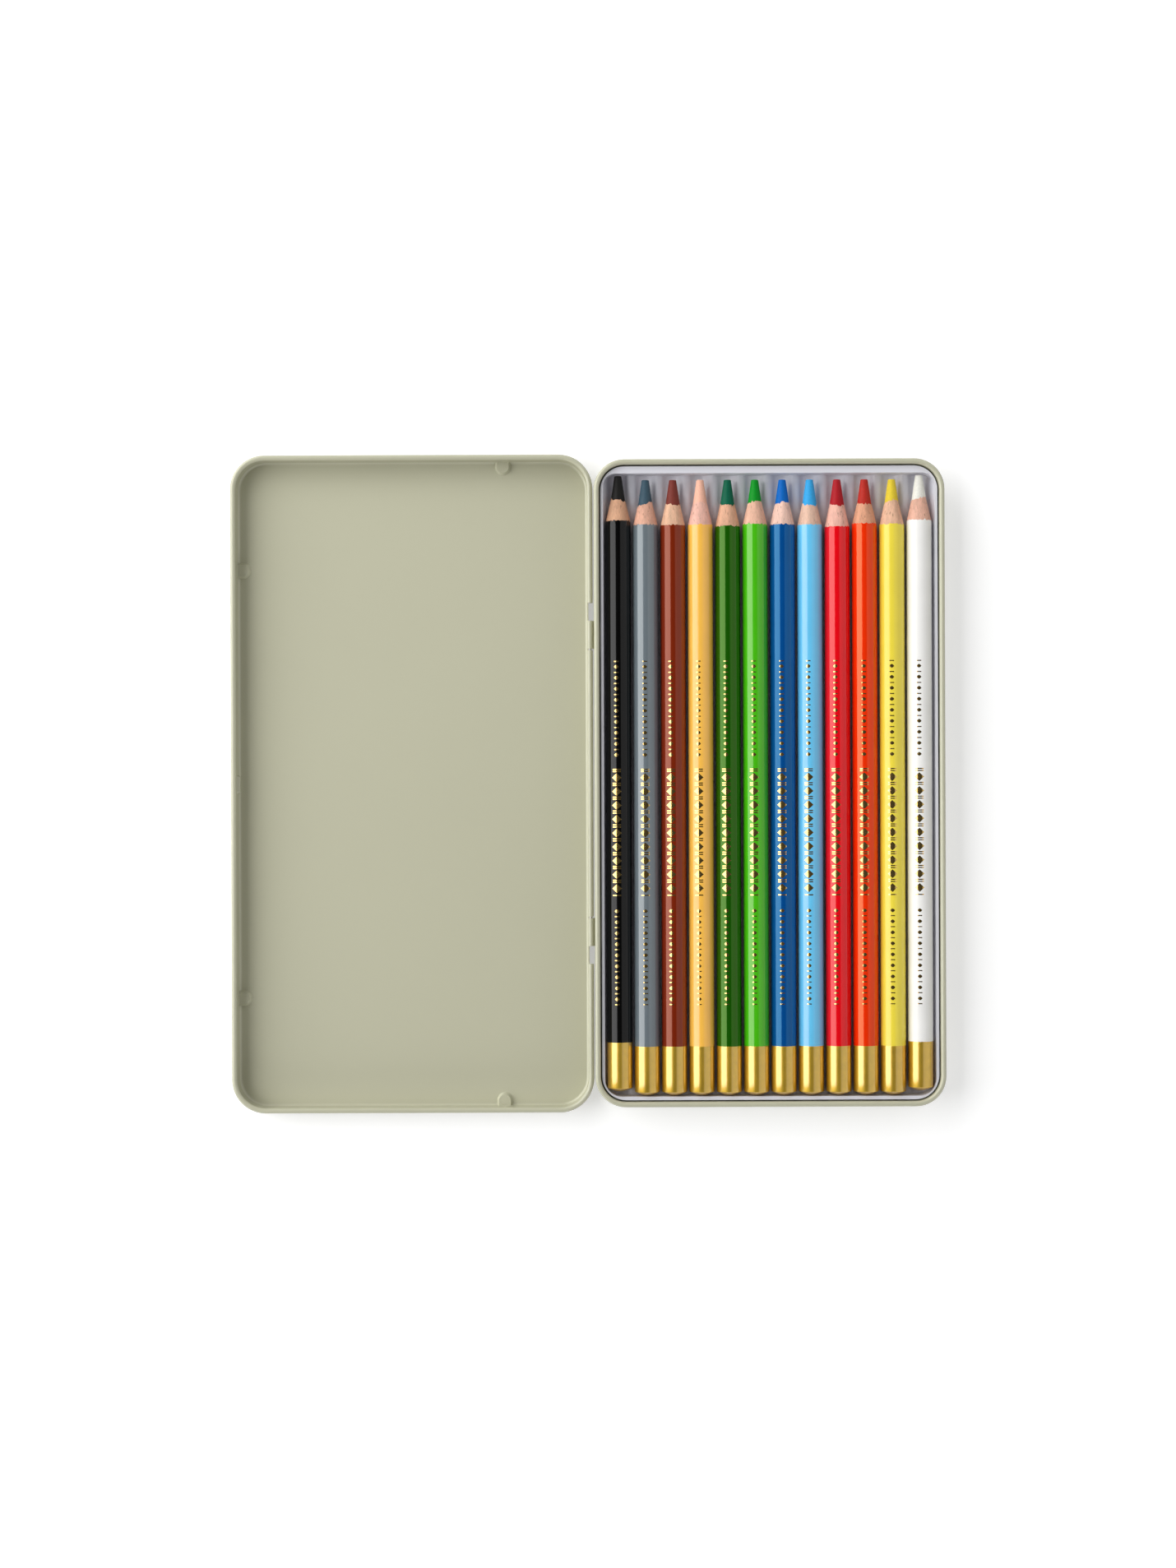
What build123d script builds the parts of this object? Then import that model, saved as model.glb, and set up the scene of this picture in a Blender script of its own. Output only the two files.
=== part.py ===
from build123d import *
from math import cos, radians, sin, sqrt, tan
import os

# Coloured pencil box: a flat hinged tin lying open, with a formed tray and a row of round pencils.
# Millimetres. +Z is up, +X runs from the lid to the base, +Y towards the pencils' tips.
# The origin is the middle of the base's underside.

# Pencils
pencil_length = 173.8
pencil_diameter = 7.1
lacquer_thickness = 0.12
core_diameter = 4.0
tip_diameter = 2.0
exposed_core_length = 6.7
sharpened_length = 12.9
gold_dip_length = 14.0
dome_depth = 0.95
dome_diameter = 6.5
shoulder_length = 1.3
# How far each core lies off its barrel's axis, sideways and up: one pair for each pencil
core_drifts = [
    (0.10, 0.01), (-0.14, 0.03), (0.04, 0.12), (-0.05, -0.06), (0.02, 0.12), (-0.06, -0.15),
    (-0.04, -0.03), (0.05, 0.17), (0.02, 0.16), (0.03, 0.10), (-0.07, -0.17), (-0.12, -0.05),
]

# Tray
tray_sheet = 0.4
tray_clearance = 0.4
tray_floor_gap = 0.1
tray_stand = 3.05
tray_draft = 2.5
pencil_gap = 0.63
pencil_seat_gap = 0.05
groove_clearance = 0.1
groove_reach_angle = 40
outer_groove_reach_angle = 62
side_play = 0.58
rear_play = 0.1
tip_clearance = 0.55
corner_clearance = 0.1
cavity_rear_corner = 4.85
cavity_tip_corner = 3.5
flange_rise = 1.95
flange_side_width = 0.76
flange_tip_width = 1.98
flange_rear_width = 0.98

# Tin
sheet = 0.3
bead_bore = 0.9
curl_angle = 290
base_corner_radius = 8.6
press_radius = 1.0
rim_depth = 1.7
lid_clearance = 0.35
lid_corner_ease = 0.45

# Stop bosses and snap dimple in the lid
boss_height = 1.3
boss_width = 4.5
boss_length = 3.7
boss_gap = 0.1
boss_draft = 25
side_boss_setback = 24.7
front_boss_setback = 32.2
dimple_length = 5.4
dimple_height = 1.9
dimple_reach = 0.9
dimple_gap = 0.25
dimple_draft = 22

# Hinge
wire_diameter = 0.8
barrel_length = 75.3
knuckle_length = 7.9
knuckle_slit = 0.45
notch_margin = 5.05
notch_depth = 1.2
tab_bend_radius = 0.45
window_margin = 0.2

# Worked out from the sizes above
pencil_count = len(core_drifts)
pencil_radius = pencil_diameter / 2
pencil_pitch = pencil_diameter + pencil_gap
wood_radius = pencil_radius - lacquer_thickness
first_pencil_x = -pencil_pitch * (pencil_count - 1) / 2

groove_radius = pencil_radius + groove_clearance
tray_foot = sheet + tray_floor_gap
groove_bottom = tray_foot + tray_stand + tray_sheet
groove_axis_height = groove_bottom + groove_radius
pencil_height = groove_bottom + pencil_seat_gap + pencil_radius
ridge_radius = pencil_pitch / 2 / sin(radians(groove_reach_angle)) - groove_radius
ridge_axis_height = groove_axis_height - (groove_radius + ridge_radius) * cos(radians(groove_reach_angle))
flange_top = pencil_height + flange_rise
draft_inset = flange_rise * tan(radians(tray_draft))

# The cavity's rounded rear corners keep the two outer pencils a little further forward
corner_radius_at_axis = cavity_rear_corner - draft_inset
corner_side_gap = groove_clearance + side_play - draft_inset
corner_reach = corner_radius_at_axis - sqrt(
    corner_radius_at_axis**2 - (corner_radius_at_axis - corner_side_gap) ** 2
)
corner_slide = max(corner_reach - shoulder_length - rear_play, 0) + corner_clearance

cavity_width = pencil_pitch * (pencil_count - 1) + 2 * (groove_radius + side_play)
cavity_length = pencil_length + rear_play + corner_slide + tip_clearance + 2 * draft_inset
tray_width = cavity_width + 2 * flange_side_width
tray_length = cavity_length + flange_tip_width + flange_rear_width
cavity_y = (flange_rear_width - flange_tip_width) / 2
pencil_rear_y = cavity_y - cavity_length / 2 + draft_inset + rear_play

bead_radius = bead_bore / 2 + sheet
base_inner_width = tray_width + 2 * tray_clearance
base_inner_length = tray_length + 2 * tray_clearance
base_inner_corner = base_corner_radius - 2 * bead_radius
base_width = base_inner_width + 4 * bead_radius
base_length = base_inner_length + 4 * bead_radius
base_height = flange_top + rim_depth
tray_corner_radius = base_inner_corner - tray_clearance

closed_height = base_height + boss_gap + boss_height + sheet
hinge_height = closed_height / 2
lid_inner_width = base_width + 2 * lid_clearance
lid_inner_length = base_length + 2 * lid_clearance
lid_inner_corner = base_corner_radius - lid_corner_ease
hinge_x = -base_width / 2 - lid_clearance - bead_radius
lid_x = hinge_x - bead_radius - lid_inner_width / 2
lid_front_x = lid_x - lid_inner_width / 2
lid_rear_x = lid_x + lid_inner_width / 2

knuckle_y = barrel_length / 2 + knuckle_slit + knuckle_length / 2
notch_length = knuckle_slit + knuckle_length + notch_margin
notch_y = barrel_length / 2 + notch_length / 2
wire_length = barrel_length + 2 * (knuckle_slit + knuckle_length)


def write(body, name):
    body.part.label = name
    export_step(body.part, f"parts/{name}.step")


def rounded_block(middle_x, width, length, corner, bottom, height, bottom_radius):
    """A block with rounded corners and a rounded bottom edge, between two heights."""
    with BuildPart() as block:
        with BuildSketch(Plane.XY.offset(bottom)):
            with Locations((middle_x, 0)):
                RectangleRounded(width, length, corner)
        extrude(amount=height - bottom)
        fillet(block.faces().sort_by(Axis.Z)[0].edges(), radius=bottom_radius)
    return block.part


def pan_outside(middle_x, inner_width, inner_length, inner_corner, rim_height):
    width = inner_width + 2 * sheet
    length = inner_length + 2 * sheet
    return rounded_block(middle_x, width, length, inner_corner + sheet, 0, rim_height, press_radius)


def rolled_pan(middle_x, inner_width, inner_length, inner_corner, rim_height):
    """A drawn pan whose rim rolls outwards; rim_height is the height of the roll's middle."""
    with BuildPart() as rim:
        with BuildSketch(Plane.XY.offset(rim_height), mode=Mode.PRIVATE) as opening:
            with Locations((middle_x, 0)):
                RectangleRounded(inner_width, inner_length, inner_corner)
        rim_path = opening.sketch.face().outer_wire()
        outward = (rim_path % 0).cross(Vector(0, 0, 1))
        with BuildSketch(Plane(origin=rim_path @ 0, x_dir=outward, z_dir=-(rim_path % 0))):
            with BuildLine():
                CenterArc((bead_radius, 0), bead_radius - sheet / 2, 180, -curl_angle)
            trace(line_width=sheet)
        sweep(path=rim_path)
    with BuildPart() as pan:
        add(pan_outside(middle_x, inner_width, inner_length, inner_corner, rim_height))
        add(
            rounded_block(
                middle_x, inner_width, inner_length, inner_corner, sheet, rim_height, press_radius - sheet
            ),
            mode=Mode.SUBTRACT,
        )
        add(rim.part)
    return pan.part


def build_base():
    wall_x = -base_inner_width / 2 - sheet / 2
    curl_radius = bead_radius - sheet / 2
    leaf_height = hinge_height - curl_radius
    window_bottom = press_radius + window_margin
    window_top = leaf_height + tab_bend_radius
    with BuildPart() as base:
        add(rolled_pan(0, base_inner_width, base_inner_length, base_inner_corner, base_height - bead_radius))
        # Each knuckle is a tab lanced from the rear wall and rolled round the wire, above its own window
        with Locations([(wall_x, side * knuckle_y, (window_bottom + window_top) / 2) for side in (-1, 1)]):
            Box(2 * sheet, knuckle_length, window_top - window_bottom, mode=Mode.SUBTRACT)
        for side in (-1, 1):
            with BuildSketch(Plane.XZ.offset(side * knuckle_y)):
                with BuildLine():
                    Line((wall_x, window_top + sheet), (wall_x, window_top))
                    CenterArc((wall_x - tab_bend_radius, window_top), tab_bend_radius, 0, -90)
                    Line((wall_x - tab_bend_radius, leaf_height), (hinge_x, leaf_height))
                    CenterArc((hinge_x, hinge_height), curl_radius, 270, -curl_angle)
                trace(line_width=sheet)
            extrude(amount=knuckle_length / 2, both=True)
    write(base, "base_tin")


def corner_presses(size_drop, base_level):
    """The stop bosses pressed up from the lid's lower corner; size_drop is taken off all round."""
    radius = boss_width / 2 - size_drop
    straight = boss_length - boss_width / 2
    side_x = hinge_x - side_boss_setback
    front_y = lid_inner_length / 2 + 2 * bead_radius - front_boss_setback
    places = [
        Plane(origin=(side_x, side * lid_inner_length / 2, base_level), x_dir=(0, -side, 0), z_dir=(0, 0, 1))
        for side in (-1, 1)
    ] + [
        Plane(origin=(lid_front_x, side * front_y, base_level), x_dir=(1, 0, 0), z_dir=(0, 0, 1))
        for side in (-1, 1)
    ]
    with BuildPart() as presses:
        for place in places:
            with BuildSketch(place):
                SlotCenterToCenter(2 * straight, 2 * radius)
            extrude(amount=boss_height, taper=boss_draft)
    return presses.part


def build_lid():
    dimple_z = closed_height - base_height + 2 * bead_radius + dimple_gap + dimple_height / 2
    with BuildPart() as bosses:
        add(corner_presses(0, sheet))
        add(
            pan_outside(lid_x, lid_inner_width, lid_inner_length, lid_inner_corner, hinge_height),
            mode=Mode.INTERSECT,
        )
    with BuildPart() as lid:
        add(rolled_pan(lid_x, lid_inner_width, lid_inner_length, lid_inner_corner, hinge_height))
        add(bosses.part)
        add(corner_presses(sheet, 0), mode=Mode.SUBTRACT)
        # The snap dimple is pressed inwards through the middle of the front wall
        for face_x, drop, mode in ((lid_front_x, 0, Mode.ADD), (lid_front_x - sheet, sheet, Mode.SUBTRACT)):
            with BuildSketch(Plane(origin=(face_x, 0, dimple_z), x_dir=(0, 1, 0), z_dir=(1, 0, 0))):
                SlotOverall(dimple_length - 2 * drop, dimple_height - 2 * drop)
            extrude(amount=dimple_reach, taper=dimple_draft, mode=mode)
        # The rear rim is cut away on both sides of the barrel to let the knuckles in
        notch_bottom = hinge_height - notch_depth
        notch_top = hinge_height + 2 * bead_radius
        with Locations([(hinge_x, side * notch_y, (notch_bottom + notch_top) / 2) for side in (-1, 1)]):
            Box(4 * bead_radius, notch_length, notch_top - notch_bottom, mode=Mode.SUBTRACT)
    write(lid, "lid_tin")


def build_wire():
    with BuildPart() as wire:
        with BuildSketch(Plane.XZ):
            with Locations((hinge_x, hinge_height)):
                Circle(wire_diameter / 2)
        extrude(amount=wire_length / 2, both=True)
    write(wire, "hinge_wire")


def tray_space(growth):
    """The space above the tray's grooved floor and inside its walls, grown outwards by growth."""
    groove = groove_radius + growth
    ridge = ridge_radius - growth
    reach = outer_groove_reach_angle
    last_x = -first_pencil_x
    wall_top = flange_top + growth
    rise = (wall_top - groove_axis_height + groove * cos(radians(reach))) / sin(radians(reach))
    wall_run = rise * cos(radians(reach))
    wall_x = last_x + groove * sin(radians(reach)) + wall_run
    with BuildPart() as space:
        with BuildSketch(Plane.XY.offset(flange_top)) as mouth:
            with Locations((0, cavity_y)):
                Rectangle(cavity_width + 2 * growth, cavity_length + 2 * growth)
            fillet(mouth.vertices().group_by(Axis.Y)[0], radius=cavity_rear_corner + growth)
            fillet(mouth.vertices().group_by(Axis.Y)[-1], radius=cavity_tip_corner + growth)
        extrude(amount=-flange_top, taper=tray_draft)
        with BuildSketch(Plane.XZ):
            with BuildLine():
                for index in range(pencil_count):
                    x = first_pencil_x + index * pencil_pitch
                    left = reach if index == 0 else groove_reach_angle
                    right = reach if index == pencil_count - 1 else groove_reach_angle
                    CenterArc((x, groove_axis_height), groove, 270 - left, left + right)
                for index in range(pencil_count - 1):
                    x = first_pencil_x + (index + 0.5) * pencil_pitch
                    CenterArc((x, ridge_axis_height), ridge, 90 + groove_reach_angle, -2 * groove_reach_angle)
                start_x = last_x + groove * sin(radians(reach))
                start_z = groove_axis_height - groove * cos(radians(reach))
                Polyline((start_x, start_z), (wall_x, wall_top), (-wall_x, wall_top), (-start_x, start_z))
            make_face()
        extrude(amount=tray_length, both=True, mode=Mode.INTERSECT)
    return space.part


def build_tray():
    """A formed sheet: a flange with a skirt that stands on the tin's floor, and the grooves hung between."""
    hollow_width = tray_width - 2 * tray_sheet
    hollow_length = tray_length - 2 * tray_sheet
    with BuildPart() as tray:
        with BuildSketch(Plane.XY.offset(tray_foot)):
            RectangleRounded(tray_width, tray_length, tray_corner_radius)
        extrude(amount=flange_top - tray_foot)
        with BuildSketch(Plane.XY.offset(tray_foot)):
            RectangleRounded(hollow_width, hollow_length, tray_corner_radius - tray_sheet)
        extrude(amount=flange_top - tray_sheet - tray_foot, mode=Mode.SUBTRACT)
        add(tray_space(tray_sheet))
        add(tray_space(0), mode=Mode.SUBTRACT)
    write(tray, "pencil_tray")


def barrel_end(inset):
    """The domed rear end from the pencil's axis out to the barrel, sunk by inset from the outer surface."""
    dome_edge = (dome_diameter / 2 - inset, dome_depth)
    # Half way out, a shallow dome has fallen by a quarter of its depth
    dome_middle = (dome_edge[0] / 2, inset + (dome_depth - inset) / 4)
    ThreePointArc((0, inset), dome_middle, dome_edge)
    Line(dome_edge, (pencil_radius - inset, shoulder_length))


def build_pencil(number, x, rear_y, drift):
    place = Plane(origin=(x, rear_y, pencil_height), x_dir=(1, 0, 0), z_dir=(0, 0, 1))
    axis = Axis(place.origin, place.y_dir)
    core_radius = core_diameter / 2
    lacquer_end = pencil_length - sharpened_length
    wood_taper = (sharpened_length - exposed_core_length) / (pencil_radius - core_radius)
    wood_end = lacquer_end + lacquer_thickness * wood_taper
    with BuildPart() as rod:
        with BuildSketch(Plane(origin=place.origin, x_dir=(1, 0, 0), z_dir=place.y_dir)):
            with Locations((drift[0], -drift[1])):
                Circle(core_radius)
        extrude(amount=pencil_length + core_radius)
    with BuildPart() as blank:
        with BuildSketch(place):
            with BuildLine():
                barrel_end(lacquer_thickness)
                Polyline(
                    (wood_radius, shoulder_length),
                    (wood_radius, wood_end),
                    (core_radius, pencil_length - exposed_core_length),
                    (tip_diameter / 2, pencil_length),
                    (0, pencil_length),
                    (0, lacquer_thickness),
                )
            make_face()
        revolve(axis=axis)
    with BuildPart() as casing:
        add(blank.part)
        add(rod.part, mode=Mode.SUBTRACT)
    write(casing, f"pencil_{number:02d}_casing")
    with BuildPart() as core:
        add(blank.part)
        add(rod.part, mode=Mode.INTERSECT)
    write(core, f"pencil_{number:02d}_core")
    with BuildPart() as lacquer:
        with BuildSketch(place):
            with BuildLine():
                Polyline(
                    (wood_radius, gold_dip_length),
                    (pencil_radius, gold_dip_length),
                    (pencil_radius, lacquer_end),
                    (wood_radius, wood_end),
                    close=True,
                )
            make_face()
        revolve(axis=axis)
    write(lacquer, f"pencil_{number:02d}_lacquer")
    with BuildPart() as gold_dip:
        with BuildSketch(place):
            with BuildLine():
                barrel_end(0)
                Line((0, 0), (0, lacquer_thickness))
                barrel_end(lacquer_thickness)
                Polyline(
                    (pencil_radius, shoulder_length),
                    (pencil_radius, gold_dip_length),
                    (wood_radius, gold_dip_length),
                    (wood_radius, shoulder_length),
                )
            make_face()
        revolve(axis=axis)
    write(gold_dip, f"pencil_{number:02d}_gold_dip")


os.makedirs("parts", exist_ok=True)
build_base()
build_lid()
build_wire()
build_tray()
for index, core_drift in enumerate(core_drifts):
    in_corner = index in (0, pencil_count - 1)
    slide = corner_slide if in_corner else 0
    build_pencil(index + 1, first_pencil_x + index * pencil_pitch, pencil_rear_y + slide, core_drift)
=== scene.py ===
import math
import random

import bmesh
import bpy
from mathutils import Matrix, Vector


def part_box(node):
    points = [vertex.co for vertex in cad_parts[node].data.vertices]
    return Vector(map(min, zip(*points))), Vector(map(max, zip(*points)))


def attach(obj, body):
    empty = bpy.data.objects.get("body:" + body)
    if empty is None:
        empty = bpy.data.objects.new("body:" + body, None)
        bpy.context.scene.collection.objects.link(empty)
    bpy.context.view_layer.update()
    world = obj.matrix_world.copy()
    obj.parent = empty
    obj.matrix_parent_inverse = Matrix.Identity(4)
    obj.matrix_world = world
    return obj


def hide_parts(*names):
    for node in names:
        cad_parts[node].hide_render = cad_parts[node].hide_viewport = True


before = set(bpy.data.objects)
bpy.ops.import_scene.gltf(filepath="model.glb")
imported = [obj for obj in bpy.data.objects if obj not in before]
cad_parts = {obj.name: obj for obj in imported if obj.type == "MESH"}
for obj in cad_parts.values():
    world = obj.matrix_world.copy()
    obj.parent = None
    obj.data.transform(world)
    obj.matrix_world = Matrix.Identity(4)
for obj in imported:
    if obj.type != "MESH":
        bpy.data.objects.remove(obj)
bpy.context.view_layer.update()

MM = 0.001

# Camera: straight above the open tin, turned a hair from square. The scale is for the barrels' height.
photo_height_px = 1907
photo_px_per_mm = 4.303
camera_height = 0.8
camera_middle = (-51.25 * MM, -0.16 * MM)
camera_turn = math.radians(-0.2)
sensor_width = 36.0

# Studio: a bright panel on the left, dimmer ones on the other three sides, a dark ceiling between them.
# A panel stands at an azimuth, counted from +X towards +Y, and spans angles from the vertical, in degrees.
# Its length and its shift along Y are in metres.
panels = {
    "left_panel": {"azimuth": 180, "from": 24, "to": 84, "length": 2.0, "shift": 0.67, "radiance": 3.2},
    "right_panel": {"azimuth": 0, "from": 19, "to": 83, "length": 2.4, "shift": 0.2, "radiance": 0.62},
    "far_panel": {"azimuth": 90, "from": 35, "to": 60, "length": 2.4, "shift": 0, "radiance": 0.5},
    "near_panel": {"azimuth": 270, "from": 58, "to": 84, "length": 2.4, "shift": 0, "radiance": 1.25},
}
panel_distance = 1.0
ceiling_radiance = 0.06
backdrop_height = 0.2
backdrop_fade = 0.04

# Floor: white paper. Its glow grows over these distances, out to where the panels no longer light it.
floor_reach = 3.0
paper_greys = (0.79, 0.81)
glow_distances = (0.3, 0.8)
glow_strengths = (0.4, 1.0)

# Pencils, as sizes on the pencil itself
round_steps = 96
sharp_angle = math.radians(40)
exposed_core_length = 6.7 * MM
tip_radius = 1.0 * MM
tip_rounding = 0.12 * MM
wood_lip = 0.03 * MM
gold_film = 0.02 * MM
gold_edge = 0.06 * MM
gold_end_depth = 1.3 * MM
dome_depth = 0.95 * MM
dome_radius = 3.25 * MM

# How far the cut edges stray: slow waves, scallops that a blade leaves, and small sharp chips
paint_raggedness = {"swing": 0.1 * MM, "scallop": 0.42 * MM, "scallop_count": 20, "chip": 0.12 * MM}
core_raggedness = {"swing": 0.18 * MM, "scallop": 0.62 * MM, "scallop_count": 12, "chip": 0.14 * MM}
gold_raggedness = {"swing": 0.05 * MM, "scallop": 0.02 * MM, "scallop_count": 7, "chip": 0.02 * MM}

# A pencil's random draws start from its number plus one of these
paint_seed = 0
core_seed = 100
gold_seed = 200
foil_seed = 300

# Foil marks stamped along each barrel: diamonds with bars between them, then dots with dashes at both ends
foil_film = 0.012 * MM
foil_turn = math.radians(-10)
foil_turn_play = math.radians(4)
foil_middle_y = -14 * MM
foil_columns = 10
diamond_count = 9
diamond_pitch = 3.9 * MM
diamond_half_width = 1.35 * MM
diamond_half_length = 1.25 * MM
bar_width = 2.4 * MM
bar_length = 0.34 * MM
bar_offsets = (1.72 * MM, 2.3 * MM)
dot_count = 9
dot_pitch = 3.1 * MM
dot_start = 22 * MM
dot_half_width = 0.62 * MM
dot_half_length = 0.55 * MM
dot_bow = 0.5
dash_offset = 1.5 * MM
dash_width = 1.3 * MM
dash_length = 0.3 * MM

# From the tip back to the paint, for each pencil, left to right
sharpened_lengths = [
    length * MM for length in (12.8, 12.8, 12.9, 12.8, 13.2, 12.7, 12.8, 12.9, 13.4, 12.6, 12.8, 12.8)
]

# Barrel colour, core colour and wood tone of each pencil, left to right
pencils = [
    ("black", (4, 4, 4), (26, 25, 24), (210, 162, 130)),
    ("slate", (107, 117, 123), (61, 84, 98), (222, 170, 146)),
    ("brown", (120, 34, 7), (120, 53, 45), (226, 181, 150)),
    ("apricot", (251, 192, 80), (240, 184, 160), (234, 183, 166)),
    ("dark_green", (16, 81, 1), (2, 93, 67), (218, 168, 138)),
    ("leaf_green", (69, 184, 16), (2, 143, 33), (228, 180, 155)),
    ("dark_blue", (1, 71, 140), (1, 100, 187), (237, 197, 180)),
    ("sky_blue", (104, 198, 242), (56, 164, 225), (224, 186, 164)),
    ("red", (229, 1, 18), (173, 26, 36), (236, 182, 164)),
    ("orange_red", (234, 45, 1), (182, 44, 34), (220, 160, 128)),
    ("yellow", (240, 219, 72), (226, 200, 56), (228, 182, 152)),
    ("white", (242, 241, 238), (230, 229, 220), (228, 178, 156)),
]

# How strongly each lacquer shines, and the tint of its shine
shines = {
    "black": (0.34, (1.0, 1.0, 1.0)),
    "slate": (0.95, (0.97, 1.0, 1.0)),
    "brown": (0.95, (1.0, 0.55, 0.42)),
    "apricot": (0.8, (1.0, 0.75, 0.95)),
    "dark_green": (0.9, (0.55, 0.95, 0.27)),
    "leaf_green": (0.75, (1.0, 0.8, 0.75)),
    "dark_blue": (0.95, (0.25, 0.75, 1.0)),
    "sky_blue": (0.85, (1.0, 0.65, 0.55)),
    "red": (0.58, (1.0, 0.95, 0.95)),
    "orange_red": (0.72, (1.0, 1.0, 0.5)),
    "yellow": (0.55, (0.9, 0.9, 1.0)),
    "white": (0.25, (1.0, 1.0, 1.0)),
}


def linear(colour):
    """An sRGB colour, 0 to 255, as the linear colour that a shader takes."""
    parts = [part / 255 for part in colour]
    return [part / 12.92 if part < 0.04045 else ((part + 0.055) / 1.055) ** 2.4 for part in parts] + [1.0]


# Shader node helpers


def add_node(tree, kind, inputs=None, **settings):
    """A node with its settings and inputs; an input is a plain value or another node's output."""
    node = tree.nodes.new(kind)
    for name, value in settings.items():
        setattr(node, name, value)
    for key, value in (inputs or {}).items():
        if isinstance(value, bpy.types.NodeSocket):
            tree.links.new(value, node.inputs[key])
        else:
            node.inputs[key].default_value = value
    return node


def object_place(tree):
    return add_node(tree, "ShaderNodeTexCoord").outputs["Object"]


def noise(tree, place, scale, detail=2.0, roughness=0.5):
    inputs = {"Vector": place, "Scale": scale, "Detail": detail, "Roughness": roughness}
    return add_node(tree, "ShaderNodeTexNoise", inputs).outputs["Fac"]


def remap(tree, value, low, high, to_low=0.0, to_high=1.0):
    inputs = {"Value": value, "From Min": low, "From Max": high, "To Min": to_low, "To Max": to_high}
    return add_node(tree, "ShaderNodeMapRange", inputs).outputs["Result"]


def calculate(tree, operation, first, second=0.0):
    return add_node(tree, "ShaderNodeMath", {0: first, 1: second}, operation=operation).outputs[0]


def stretch_place(tree, place, stretch):
    inputs = {0: place, 1: stretch}
    return add_node(tree, "ShaderNodeVectorMath", inputs, operation="MULTIPLY").outputs["Vector"]


def scale_colour(tree, colour, factor):
    inputs = {0: colour, "Scale": factor}
    return add_node(tree, "ShaderNodeVectorMath", inputs, operation="SCALE").outputs["Vector"]


def mix_colour(tree, factor, first, second):
    """The Mix node's colour sockets share their names with its other kinds, so they go by number."""
    inputs = {0: factor, 6: first, 7: second}
    return add_node(tree, "ShaderNodeMix", inputs, data_type="RGBA").outputs[2]


def bump(tree, height, depth):
    return add_node(tree, "ShaderNodeBump", {"Height": height, "Distance": depth}).outputs["Normal"]


def start_group(name, inputs, outputs):
    """A node group with named inputs (name, kind, default) and outputs (name, kind)."""
    tree = bpy.data.node_groups.new(name, "ShaderNodeTree")
    for socket_name, kind, default in inputs:
        socket = tree.interface.new_socket(socket_name, in_out="INPUT", socket_type="NodeSocket" + kind)
        socket.default_value = default
    for socket_name, kind in outputs:
        tree.interface.new_socket(socket_name, in_out="OUTPUT", socket_type="NodeSocket" + kind)
    given = tree.nodes.new("NodeGroupInput").outputs
    result = tree.nodes.new("NodeGroupOutput").inputs
    return tree, given, result


def place_group(tree, group, inputs):
    return add_node(tree, "ShaderNodeGroup", inputs, node_tree=group).outputs


def start_material(name):
    material = bpy.data.materials.new(name)
    material.use_nodes = True
    tree = material.node_tree
    tree.nodes.clear()
    return material, tree


def show_surface(tree, shader):
    output = tree.nodes.new("ShaderNodeOutputMaterial")
    tree.links.new(shader, output.inputs["Surface"])


def finish_material(tree, inputs):
    show_surface(tree, add_node(tree, "ShaderNodeBsdfPrincipled", inputs).outputs["BSDF"])


# Effects that several materials share


def make_paint_film():
    """A sprayed film: slow drift of tone, fine ripple and a few specks of dust under the surface."""
    tree, given, result = start_group(
        "paint_film",
        [
            ("Colour", "Color", (0.5, 0.5, 0.5, 1)),
            ("Drift", "Float", 0.05),
            ("Drift Scale", "Float", 30.0),
            ("Ripple Scale", "Float", 900.0),
            ("Speck Scale", "Float", 1500.0),
            ("Speck Height", "Float", 1.0),
        ],
        [("Colour", "Color"), ("Height", "Float")],
    )
    speck_heart, speck_rim = 0.05, 0.16
    speck_from, speck_full = 0.86, 0.9
    place = object_place(tree)
    slow = noise(tree, place, given["Drift Scale"], detail=3.0)
    darker = calculate(tree, "SUBTRACT", 1.0, given["Drift"])
    lighter = calculate(tree, "ADD", 1.0, given["Drift"])
    tone = remap(tree, slow, 0.25, 0.75, darker, lighter)
    tree.links.new(scale_colour(tree, given["Colour"], tone), result["Colour"])
    ripple = noise(tree, place, given["Ripple Scale"])
    cells = add_node(tree, "ShaderNodeTexVoronoi", {"Vector": place, "Scale": given["Speck Scale"]}).outputs
    near = remap(tree, cells["Distance"], speck_heart, speck_rim, 1.0, 0.0)
    rare = remap(tree, cells["Color"], speck_from, speck_full)
    specks = calculate(tree, "MULTIPLY", near, rare)
    raised = calculate(tree, "MULTIPLY", specks, given["Speck Height"])
    tree.links.new(calculate(tree, "ADD", ripple, raised), result["Height"])
    return tree


def make_handling():
    """Roughness of a handled surface: soft smears, and hairline rubs that run along Stretch."""
    tree, given, result = start_group(
        "handling",
        [
            ("Roughness", "Float", 0.3),
            ("Smear", "Float", 0.05),
            ("Rub", "Float", 0.04),
            ("Stretch", "Vector", (1.0, 0.03, 1.0)),
        ],
        [("Roughness", "Float"), ("Rubs", "Float")],
    )
    smear_scale = 55.0
    rub_scale = 2600.0
    place = object_place(tree)
    smear = remap(tree, noise(tree, place, smear_scale, detail=4.0), 0.35, 0.7, -1.0, 1.0)
    along = stretch_place(tree, place, given["Stretch"])
    rubs = remap(tree, noise(tree, along, rub_scale, detail=3.0), 0.62, 0.72)
    tree.links.new(rubs, result["Rubs"])
    smeared = calculate(tree, "MULTIPLY", smear, given["Smear"])
    rubbed = calculate(tree, "MULTIPLY", rubs, given["Rub"])
    total = calculate(tree, "ADD", calculate(tree, "ADD", given["Roughness"], smeared), rubbed)
    tree.links.new(total, result["Roughness"])
    return tree


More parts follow.
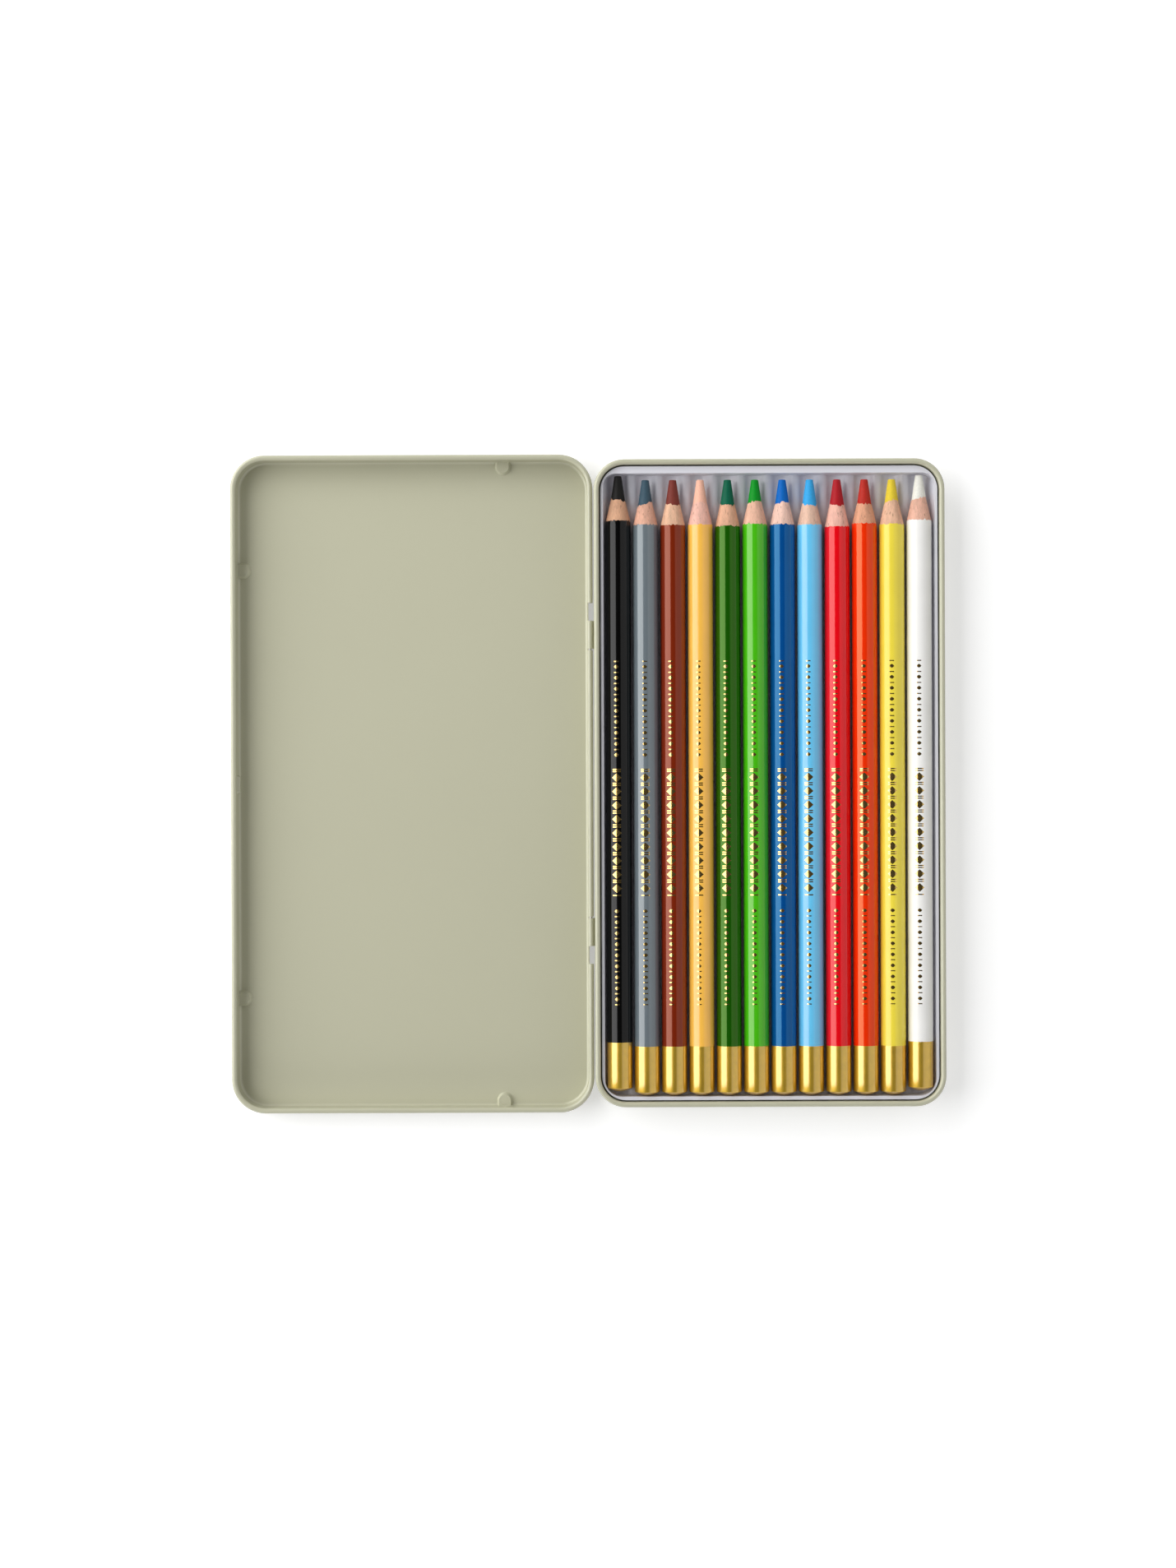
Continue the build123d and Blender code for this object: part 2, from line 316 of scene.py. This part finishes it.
def make_blade_marks():
    """The fine ridges that a turning sharpener blade leaves round a cone, faint and broken."""
    tree, given, result = start_group(
        "blade_marks", [("Pitch", "Float", 0.16 * MM)], [("Height", "Float")]
    )
    wobble_scale = 700.0
    break_scale = 420.0
    place = object_place(tree)
    length = add_node(tree, "ShaderNodeSeparateXYZ", {0: place}).outputs["Y"]
    wobble = noise(tree, place, wobble_scale)
    turns = calculate(tree, "ADD", calculate(tree, "DIVIDE", length, given["Pitch"]), wobble)
    wave = calculate(tree, "SINE", calculate(tree, "MULTIPLY", turns, math.tau))
    broken = remap(tree, noise(tree, place, break_scale), 0.4, 0.65)
    tree.links.new(calculate(tree, "MULTIPLY", wave, broken), result["Height"])
    return tree


def make_wood_grain():
    """Straight-grained casing wood, its fibres along Y: pale and dark streaks, short pores and flecks."""
    tree, given, result = start_group(
        "wood_grain",
        [("Colour", "Color", (0.7, 0.45, 0.3, 1))],
        [("Colour", "Color"), ("Height", "Float"), ("Roughness", "Float")],
    )
    place = object_place(tree)

    def streaks(length_share, scale, detail, roughness):
        return noise(tree, stretch_place(tree, place, (1.0, length_share, 1.0)), scale, detail, roughness)

    bands = streaks(0.06, scale=700.0, detail=3.0, roughness=0.6)
    fibres = streaks(0.035, scale=4200.0, detail=2.0, roughness=0.6)
    pores = remap(tree, streaks(0.13, scale=3000.0, detail=1.0, roughness=0.5), 0.66, 0.74)
    shade = remap(tree, bands, 0.3, 0.7, 0.82, 1.12)
    fine = remap(tree, fibres, 0.25, 0.75, 0.86, 1.1)
    tint = scale_colour(tree, given["Colour"], calculate(tree, "MULTIPLY", shade, fine))
    pore_colour = (0.22, 0.10, 0.06, 1)
    pore_depth = 0.6
    pore_share = calculate(tree, "MULTIPLY", pores, pore_depth)
    tree.links.new(mix_colour(tree, pore_share, tint, pore_colour), result["Colour"])
    tree.links.new(calculate(tree, "SUBTRACT", fibres, pores), result["Height"])
    tree.links.new(remap(tree, bands, 0.3, 0.7, 0.62, 0.78), result["Roughness"])
    return tree


paint_film = make_paint_film()
handling = make_handling()
blade_marks = make_blade_marks()
wood_grain = make_wood_grain()


# Materials


def sage_enamel():
    """Satin enamel on tinplate."""
    material, tree = start_material("sage_enamel")
    film = place_group(
        tree,
        paint_film,
        {
            "Colour": linear((190, 189, 165)),
            "Drift": 0.012,
            "Drift Scale": 18.0,
            "Ripple Scale": 1400.0,
            "Speck Scale": 700.0,
            "Speck Height": 0.8,
        },
    )
    touch = place_group(
        tree, handling, {"Roughness": 0.26, "Smear": 0.004, "Rub": 0.01, "Stretch": (1.0, 0.03, 1.0)}
    )
    finish_material(
        tree,
        {
            "Base Color": film["Colour"],
            "Roughness": touch["Roughness"],
            "Specular IOR Level": 0.65,
            "Normal": bump(tree, film["Height"], 0.004 * MM),
        },
    )
    return material


def wire_steel():
    """Drawn steel wire."""
    material, tree = start_material("wire_steel")
    touch = place_group(
        tree, handling, {"Roughness": 0.3, "Smear": 0.08, "Rub": 0.15, "Stretch": (1.0, 0.02, 1.0)}
    )
    finish_material(
        tree,
        {
            "Base Color": linear((176, 174, 170)),
            "Metallic": 1.0,
            "Roughness": touch["Roughness"],
            "Normal": bump(tree, touch["Rubs"], 0.003 * MM),
        },
    )
    return material


def tray_plastic():
    """Formed white sheet: soft sheen, slightly drawn texture."""
    material, tree = start_material("tray_plastic")
    film = place_group(
        tree,
        paint_film,
        {
            "Colour": linear((222, 222, 230)),
            "Drift": 0.02,
            "Drift Scale": 40.0,
            "Ripple Scale": 500.0,
            "Speck Scale": 500.0,
            "Speck Height": 0.4,
        },
    )
    touch = place_group(
        tree, handling, {"Roughness": 0.34, "Smear": 0.06, "Rub": 0.05, "Stretch": (1.0, 0.05, 1.0)}
    )
    finish_material(
        tree,
        {
            "Base Color": film["Colour"],
            "Roughness": touch["Roughness"],
            "Normal": bump(tree, film["Height"], 0.012 * MM),
        },
    )
    return material


def barrel_lacquer(name, colour):
    """High-gloss lacquer, dipped several times."""
    shine, shine_tint = shines[name]
    material, tree = start_material("lacquer_" + name)
    film = place_group(
        tree,
        paint_film,
        {
            "Colour": linear(colour),
            "Drift": 0.03,
            "Drift Scale": 120.0,
            "Ripple Scale": 600.0,
            "Speck Scale": 900.0,
            "Speck Height": 0.7,
        },
    )
    touch = place_group(
        tree, handling, {"Roughness": 0.125, "Smear": 0.01, "Rub": 0.04, "Stretch": (1.0, 0.02, 1.0)}
    )
    finish_material(
        tree,
        {
            "Base Color": film["Colour"],
            "Roughness": touch["Roughness"],
            "Specular IOR Level": shine,
            "Specular Tint": [*shine_tint, 1.0],
            "Normal": bump(tree, film["Height"], 0.004 * MM),
        },
    )
    return material


def gold_paint():
    """Gold dip: fine metal flake under a thin clear film."""
    material, tree = start_material("gold_paint")
    film = place_group(
        tree,
        paint_film,
        {
            "Colour": linear((222, 180, 50)),
            "Drift": 0.06,
            "Drift Scale": 500.0,
            "Ripple Scale": 2500.0,
            "Speck Scale": 1800.0,
            "Speck Height": 0.8,
        },
    )
    touch = place_group(
        tree, handling, {"Roughness": 0.4, "Smear": 0.03, "Rub": 0.08, "Stretch": (1.0, 0.03, 1.0)}
    )
    finish_material(
        tree,
        {
            "Base Color": film["Colour"],
            "Metallic": 0.85,
            "Roughness": touch["Roughness"],
            "Coat Weight": 1.0,
            "Coat IOR": 1.95,
            "Coat Roughness": 0.14,
            "Normal": bump(tree, film["Height"], 0.006 * MM),
        },
    )
    return material


def gold_foil():
    """Hot-stamped foil: bright, its tone broken up by fine crinkles."""
    material, tree = start_material("gold_foil")
    touch = place_group(
        tree, handling, {"Roughness": 0.14, "Smear": 0.03, "Rub": 0.08, "Stretch": (1.0, 1.0, 1.0)}
    )
    crinkle = noise(tree, object_place(tree), scale=5000.0, detail=3.0)
    shade = remap(tree, crinkle, 0.3, 0.7)
    finish_material(
        tree,
        {
            "Base Color": mix_colour(tree, shade, linear((226, 186, 104)), linear((246, 214, 140))),
            "Metallic": 1.0,
            "Roughness": touch["Roughness"],
            "Normal": bump(tree, crinkle, 0.004 * MM),
        },
    )
    return material


def casing_wood(name, colour):
    """Freshly sharpened wood."""
    material, tree = start_material("wood_" + name)
    grain = place_group(tree, wood_grain, {"Colour": linear(colour)})
    blade = place_group(tree, blade_marks, {"Pitch": 0.19 * MM})
    ridges = calculate(tree, "MULTIPLY", blade["Height"], 0.25)
    finish_material(
        tree,
        {
            "Base Color": grain["Colour"],
            "Roughness": grain["Roughness"],
            "Specular IOR Level": 0.3,
            "Normal": bump(tree, calculate(tree, "ADD", grain["Height"], ridges), 0.03 * MM),
        },
    )
    return material


def wax_core(name, colour):
    """Pigmented wax: a cut face with a low shine, blade marks and crumbs."""
    material, tree = start_material("core_" + name)
    crumbs = noise(tree, object_place(tree), scale=2400.0, detail=4.0, roughness=0.6)
    tone = remap(tree, crumbs, 0.3, 0.7, 0.92, 1.06)
    blade = place_group(tree, blade_marks, {"Pitch": 0.24 * MM})
    ridges = calculate(tree, "MULTIPLY", blade["Height"], 0.4)
    finish_material(
        tree,
        {
            "Base Color": scale_colour(tree, linear(colour)[:3], tone),
            "Roughness": remap(tree, crumbs, 0.3, 0.7, 0.42, 0.58),
            "Specular IOR Level": 0.15,
            "Normal": bump(tree, calculate(tree, "ADD", crumbs, ridges), 0.02 * MM),
        },
    )
    return material


def studio_floor():
    """Matt white paper that shows white to the camera and in reflections, and keeps the shadow. Further out,
    where the panels no longer light it, it glows more, so that it stays white to the horizon."""
    material, tree = start_material("studio_floor")
    place = object_place(tree)
    paper = noise(tree, place, scale=900.0, detail=3.0)
    dark, light = [(grey, grey, grey, 1) for grey in paper_greys]
    diffuse = add_node(tree, "ShaderNodeBsdfDiffuse", {"Color": mix_colour(tree, paper, dark, light)})
    rays = add_node(tree, "ShaderNodeLightPath").outputs
    seen = calculate(tree, "MAXIMUM", rays["Is Camera Ray"], rays["Is Glossy Ray"])
    seen = calculate(tree, "MAXIMUM", seen, rays["Is Transmission Ray"])
    distance = add_node(tree, "ShaderNodeVectorMath", {0: place}, operation="LENGTH").outputs["Value"]
    strength = calculate(tree, "MULTIPLY", seen, remap(tree, distance, *glow_distances, *glow_strengths))
    glow = add_node(tree, "ShaderNodeEmission", {"Color": (1, 1, 1, 1), "Strength": strength})
    total = add_node(tree, "ShaderNodeAddShader", {0: diffuse.outputs[0], 1: glow.outputs[0]})
    show_surface(tree, total.outputs[0])
    return material


# Meshes


def finish_mesh(name, points, faces, material):
    """An object at the origin from points and faces, its faces outwards, smooth but for sharp edges."""
    mesh = bpy.data.meshes.new(name)
    mesh.from_pydata(points, [], faces)
    work = bmesh.new()
    work.from_mesh(mesh)
    bmesh.ops.recalc_face_normals(work, faces=work.faces)
    work.to_mesh(mesh)
    work.free()
    mesh.shade_smooth()
    mesh.set_sharp_from_angle(angle=sharp_angle)
    mesh.materials.append(material)
    piece = bpy.data.objects.new(name, mesh)
    bpy.context.scene.collection.objects.link(piece)
    return piece


def turned_mesh(name, axis_x, axis_z, rings, material, closed=True):
    """A solid turned about a line along Y. A ring is a list of (y, radius) round the axis.
    A closed solid joins its last ring to its first; an open one has a flat cap on both."""
    steps = len(rings[0])
    points = []
    for ring in rings:
        for step, (y, radius) in enumerate(ring):
            turn = math.tau * step / steps
            points.append((axis_x + radius * math.cos(turn), y, axis_z + radius * math.sin(turn)))
    faces = []
    pairs = len(rings) if closed else len(rings) - 1
    for index in range(pairs):
        here = index * steps
        there = (index + 1) % len(rings) * steps
        for step in range(steps):
            following = (step + 1) % steps
            faces.append((here + step, here + following, there + following, there + step))
    if not closed:
        last = (len(rings) - 1) * steps
        faces.append(tuple(range(steps)))
        faces.append(tuple(range(last, last + steps)))
    return finish_mesh(name, points, faces, material)


def level_ring(y, radius):
    return [(y, radius)] * round_steps


def between(first, second, share):
    return [a + (b - a) * share for a, b in zip(first, second)]


def ragged_edge(seed, swing, scallop, scallop_count, chip):
    """How far a cut edge strays at each step round a pencil: slow waves of swing, scallops that a blade
    leaves, of uneven depth and width, and small sharp chips."""
    dice = random.Random(seed)
    waves = [(count, dice.uniform(0, math.tau), dice.uniform(0.4, 1.0)) for count in (1, 2, 3, 5)]
    weight = sum(size for _, _, size in waves)
    stray, uneven = dice.uniform(0, math.tau), dice.uniform(0, math.tau)
    edge = []
    for step in range(round_steps):
        turn = math.tau * step / round_steps
        wave = sum(size * math.sin(count * turn + phase) for count, phase, size in waves) / weight
        bend = 0.9 * math.sin(3 * turn + stray) + 0.6 * math.sin(5 * turn + uneven)
        depth = 0.55 + 0.45 * math.sin(4 * turn + uneven)
        lobe = 0.5 - abs(math.sin(scallop_count * turn / 2 + bend))
        edge.append(swing * wave + scallop * depth * lobe + chip * dice.uniform(-1, 1) ** 3)
    return edge


# Pencils


class Pencil:
    """The sizes of one pencil, read from the frame."""

    def __init__(self, number):
        self.number = number
        self.key = f"pencil_{number:02d}"
        sleeve_low, sleeve_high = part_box(self.key + "_lacquer")
        core_low, core_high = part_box(self.key + "_core")
        casing_low, casing_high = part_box(self.key + "_casing")
        gold_low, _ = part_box(self.key + "_gold_dip")
        self.x = (sleeve_low.x + sleeve_high.x) / 2
        self.z = (sleeve_low.z + sleeve_high.z) / 2
        self.radius = (sleeve_high.x - sleeve_low.x) / 2
        self.wood_radius = (casing_high.x - casing_low.x) / 2
        self.core_radius = (core_high.x - core_low.x) / 2
        self.core_drift_x = (core_low.x + core_high.x) / 2 - self.x
        self.core_drift_z = (core_low.z + core_high.z) / 2 - self.z
        self.rear_y = gold_low.y
        self.wood_rear_y = self.rear_y + gold_end_depth
        self.gold_y = sleeve_low.y
        self.tip_y = core_high.y
        self.paint_y = self.tip_y - sharpened_lengths[number - 1]
        self.core_y = self.tip_y - exposed_core_length
        self.wood_slope = (self.wood_radius - self.core_radius) / (self.core_y - self.paint_y)
        self.core_slope = (self.core_radius - tip_radius) / exposed_core_length

    def cone_radius(self, y):
        """Radius of the sharpened cone at y."""
        if y < self.core_y:
            return self.core_radius + (self.core_y - y) * self.wood_slope
        return self.core_radius - (y - self.core_y) * self.core_slope

    def paint_edge(self):
        """Where the lacquer ends, at each step round the pencil."""
        return [self.paint_y + shift for shift in ragged_edge(paint_seed + self.number, **paint_raggedness)]

    def core_edge(self):
        """Where the wood ends: the cone cuts the core's own cylinder, which lies a little off the axis."""
        edge = []
        for step, shift in enumerate(ragged_edge(core_seed + self.number, **core_raggedness)):
            turn = math.tau * step / round_steps
            reach = self.core_drift_x * math.cos(turn) + self.core_drift_z * math.sin(turn)
            edge.append(self.core_y - reach / self.wood_slope + shift)
        return edge


def make_casing(pencil, material):
    """The wood from end to end, with the bore for the core. Its lip at the front reaches into the core."""
    cone_rings = 14
    lip_radius = pencil.core_radius * 0.9
    paint_edge = pencil.paint_edge()
    core_edge = pencil.core_edge()
    rings = [
        level_ring(pencil.wood_rear_y, pencil.core_radius),
        level_ring(pencil.wood_rear_y, pencil.wood_radius),
    ]
    for index in range(cone_rings + 1):
        line = between(paint_edge, core_edge, index / cone_rings)
        rings.append([(y, min(pencil.cone_radius(y), pencil.wood_radius) + wood_lip) for y in line])
    rings.append([(y, lip_radius) for y in core_edge])
    return turned_mesh(pencil.key + "_casing_wood", pencil.x, pencil.z, rings, material)


def make_core(pencil, material):
    """The core from the rear to its flat tip, a little thinner where the wood hides it."""
    cone_rings = 12
    hidden_radius = pencil.core_radius * 0.95
    hidden_length = 0.4 * MM
    core_edge = pencil.core_edge()
    start = [y - hidden_length for y in core_edge]
    end = [pencil.tip_y - tip_rounding] * round_steps
    rings = [
        level_ring(pencil.wood_rear_y, hidden_radius),
        [(y, min(pencil.cone_radius(y), hidden_radius)) for y in start],
    ]
    for index in range(cone_rings + 1):
        line = between(core_edge, end, index / cone_rings)
        rings.append([(y, pencil.cone_radius(y)) for y in line])
    for angle in (30, 60, 90):
        turn = math.radians(angle)
        y = pencil.tip_y - tip_rounding * (1 - math.sin(turn))
        rings.append(level_ring(y, tip_radius - tip_rounding * (1 - math.cos(turn))))
    return turned_mesh(pencil.key + "_core_wax", pencil.x, pencil.z, rings, material, closed=False)


def make_sleeve(pencil, material):
    """The lacquer film, its front edge rounded over and cut ragged by the sharpener."""
    barrel_rings = 24
    straight_end = pencil.paint_y - 1.2 * MM
    edge_setback = 0.35 * MM
    edge_round = (pencil.radius - pencil.wood_radius) / 2
    film_middle = pencil.wood_radius + edge_round
    paint_edge = pencil.paint_edge()
    rings = [
        level_ring(pencil.gold_y, pencil.wood_radius),
        level_ring(pencil.gold_y, pencil.radius),
    ]
    for index in range(1, barrel_rings + 1):
        y = pencil.gold_y + (straight_end - pencil.gold_y) * index / barrel_rings
        rings.append(level_ring(y, pencil.radius))
    for angle in (90, 60, 30, 0):
        turn = math.radians(angle)
        radius = film_middle + edge_round * math.sin(turn)
        forward = edge_round * math.cos(turn) - edge_setback * math.sin(turn)
        rings.append([(y + forward, radius) for y in paint_edge])
    rings.append([(y, pencil.wood_radius) for y in paint_edge])
    return turned_mesh(pencil.key + "_lacquer_sleeve", pencil.x, pencil.z, rings, material)


def make_gold_end(pencil, material):
    """The gold dip over the barrel's end: a low dome, a rounded shoulder and a soft front edge."""
    dome_rings = 8
    shoulder = (pencil.radius - dome_radius) * 0.9
    outer = pencil.radius + gold_film
    stray = ragged_edge(gold_seed + pencil.number, **gold_raggedness)
    front = [pencil.gold_y + shift for shift in stray]
    rings = []
    for index in range(1, dome_rings + 1):
        share = index / dome_rings
        rings.append(level_ring(pencil.rear_y + dome_depth * share**2, dome_radius * share))
    for angle in (0, 22, 45, 67, 90):
        turn = math.radians(angle)
        y = pencil.rear_y + dome_depth + shoulder * (1 - math.cos(turn))
        rings.append(level_ring(y, dome_radius + (outer - dome_radius) * math.sin(turn)))
    for share in (0.25, 0.5, 0.75, 0.97):
        y = pencil.wood_rear_y + (pencil.gold_y - pencil.wood_rear_y) * share
        rings.append(level_ring(y, outer))
    rings.append([(y - gold_edge, outer) for y in front])
    rings.append([(y, outer - gold_film) for y in front])
    rings.append([(y, pencil.wood_radius) for y in front])
    rings.append(level_ring(pencil.wood_rear_y, pencil.wood_radius))
    return turned_mesh(pencil.key + "_gold_end", pencil.x, pencil.z, rings, material, closed=False)


def foil_patch(pencil, turn, columns, points, faces):
    """A thin raised patch on the top of the barrel, from columns of (across, low, high) in metres."""
    start = len(points)
    for across, low, high in columns:
        angle = math.pi / 2 - turn - across / pencil.radius
        for y in (low, high):
            for radius in (pencil.radius - foil_film / 2, pencil.radius + foil_film / 2):
                points.append((pencil.x + radius * math.cos(angle), y, pencil.z + radius * math.sin(angle)))
    under_low, top_low, under_high, top_high = range(4)
    walls = [(top_low, top_high), (under_high, under_low), (under_low, top_low), (top_high, under_high)]
    for index in range(len(columns) - 1):
        here, there = start + 4 * index, start + 4 * index + 4
        for first, second in walls:
            faces.append((here + first, here + second, there + second, there + first))
    end = start + 4 * (len(columns) - 1)
    for here in (start, end):
        faces.append(tuple(here + corner for corner in (under_low, top_low, top_high, under_high)))


def bar(middle_y, width, length):
    """A bar across the barrel."""
    columns = []
    for index in range(foil_columns + 1):
        across = width * (index / foil_columns - 0.5)
        columns.append((across, middle_y - length / 2, middle_y + length / 2))
    return columns


def diamond(middle_y, half_width, half_length, bow=1.0):
    """A diamond with blunt points, or with a bow under 1 a rounder spot."""
    blunt = 0.02
    columns = []
    for index in range(foil_columns + 1):
        share = 2 * index / foil_columns - 1
        reach = half_length * max(1 - abs(share), blunt) ** bow
        columns.append((half_width * share, middle_y - reach, middle_y + reach))
    return columns


def make_foil(pencil, material):
    """Plain ornament along the barrel: wide diamonds and bars in the middle, dots and dashes beyond."""
    dice = random.Random(foil_seed + pencil.number)
    turn = foil_turn + dice.uniform(-1, 1) * foil_turn_play
    points, faces = [], []

    def stamp(columns):
        foil_patch(pencil, turn, columns, points, faces)

    for index in range(diamond_count):
        y = foil_middle_y + (index - (diamond_count - 1) / 2) * diamond_pitch
        stamp(diamond(y, diamond_half_width, diamond_half_length))
        for offset in bar_offsets:
            stamp(bar(y + offset, bar_width, bar_length))
    stamp(bar(foil_middle_y - diamond_count / 2 * diamond_pitch, bar_width, bar_length))
    for side in (-1, 1):
        for index in range(dot_count):
            y = foil_middle_y + side * (dot_start + dot_pitch * index)
            stamp(diamond(y, dot_half_width, dot_half_length, dot_bow))
            stamp(bar(y + side * dash_offset, dash_width, dash_length))
    return finish_mesh(pencil.key + "_foil", points, faces, material)


def make_pencils():
    gold = gold_paint()
    foil = gold_foil()
    for number, (name, barrel_colour, core_colour, wood_colour) in enumerate(pencils, 1):
        pencil = Pencil(number)
        lacquer = barrel_lacquer(name, barrel_colour)
        wood = casing_wood(name, wood_colour)
        wax = wax_core(name, core_colour)
        made = [
            (make_casing(pencil, wood), "_casing", "casing_wood"),
            (make_core(pencil, wax), "_core", "core_" + name),
            (make_sleeve(pencil, lacquer), "_lacquer", "lacquer_" + name),
            (make_gold_end(pencil, gold), "_gold_dip", "gold_paint"),
        ]
        for piece, node, slot in made:
            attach(piece, pencil.key)
            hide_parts(pencil.key + node)
        marks = make_foil(pencil, foil)
        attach(marks, pencil.key)


def dress_node(name, material):
    """Gives a node of the frame its finish."""
    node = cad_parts[name]
    node.data.materials.clear()
    node.data.materials.append(material)


# Studio


def make_floor():
    low, high = -floor_reach, floor_reach
    corners = [(low, low, 0), (high, low, 0), (high, high, 0), (low, high, 0)]
    floor = finish_mesh("studio_floor", corners, [(0, 1, 2, 3)], studio_floor())


def make_panel(name, panel):
    """A large soft panel facing the tin."""
    middle = math.radians((panel["from"] + panel["to"]) / 2)
    half = math.radians((panel["to"] - panel["from"]) / 2)
    azimuth = math.radians(panel["azimuth"])
    height = 2 * panel_distance * math.tan(half)
    lamp = bpy.data.lights.new(name, "AREA")
    lamp.shape = "RECTANGLE"
    lamp.size = panel["length"]
    lamp.size_y = height
    lamp.energy = panel["radiance"] * math.pi * height * panel["length"]
    away = Vector(
        (math.sin(middle) * math.cos(azimuth), math.sin(middle) * math.sin(azimuth), math.cos(middle))
    )
    lamp_object = bpy.data.objects.new(name, lamp)
    lamp_object.location = away * panel_distance + Vector((camera_middle[0], panel["shift"], 0))
    lamp_object.rotation_euler = away.to_track_quat("Z", "Y").to_euler()
    bpy.context.scene.collection.objects.link(lamp_object)


def make_world():
    """A dim ceiling, with a white backdrop low down that the camera and polished surfaces see."""
    world = bpy.data.worlds.new("studio")
    bpy.context.scene.world = world
    world.use_nodes = True
    tree = world.node_tree
    tree.nodes.clear()
    direction = add_node(tree, "ShaderNodeTexCoord").outputs["Generated"]
    height = add_node(tree, "ShaderNodeSeparateXYZ", {0: direction}).outputs["Z"]
    low = remap(tree, height, backdrop_height, backdrop_height - backdrop_fade)
    rays = add_node(tree, "ShaderNodeLightPath").outputs
    polished = calculate(tree, "MAXIMUM", rays["Is Glossy Ray"], rays["Is Transmission Ray"])
    seen = calculate(tree, "MAXIMUM", rays["Is Camera Ray"], calculate(tree, "MULTIPLY", polished, low))
    strength = remap(tree, seen, 0.0, 1.0, ceiling_radiance, 1.0)
    background = add_node(tree, "ShaderNodeBackground", {"Color": (1, 1, 1, 1), "Strength": strength})
    output = tree.nodes.new("ShaderNodeOutputWorld")
    tree.links.new(background.outputs[0], output.inputs["Surface"])


def make_camera():
    barrel_height = Pencil(1).z
    view_length = photo_height_px / photo_px_per_mm * MM
    camera = bpy.data.cameras.new("camera")
    camera.sensor_width = sensor_width
    camera.lens = sensor_width * (camera_height - barrel_height) / view_length
    camera_object = bpy.data.objects.new("camera", camera)
    camera_object.location = (camera_middle[0], camera_middle[1], camera_height)
    camera_object.rotation_euler = (0, 0, camera_turn)
    bpy.context.scene.collection.objects.link(camera_object)
    bpy.context.scene.camera = camera_object


bpy.context.scene.view_settings.view_transform = "Standard"
make_camera()
make_world()
for name, panel in panels.items():
    make_panel(name, panel)
make_floor()

enamel = sage_enamel()
dress_node("base_tin", enamel)
dress_node("lid_tin", enamel)
dress_node("hinge_wire", wire_steel())
dress_node("pencil_tray", tray_plastic())
make_pencils()
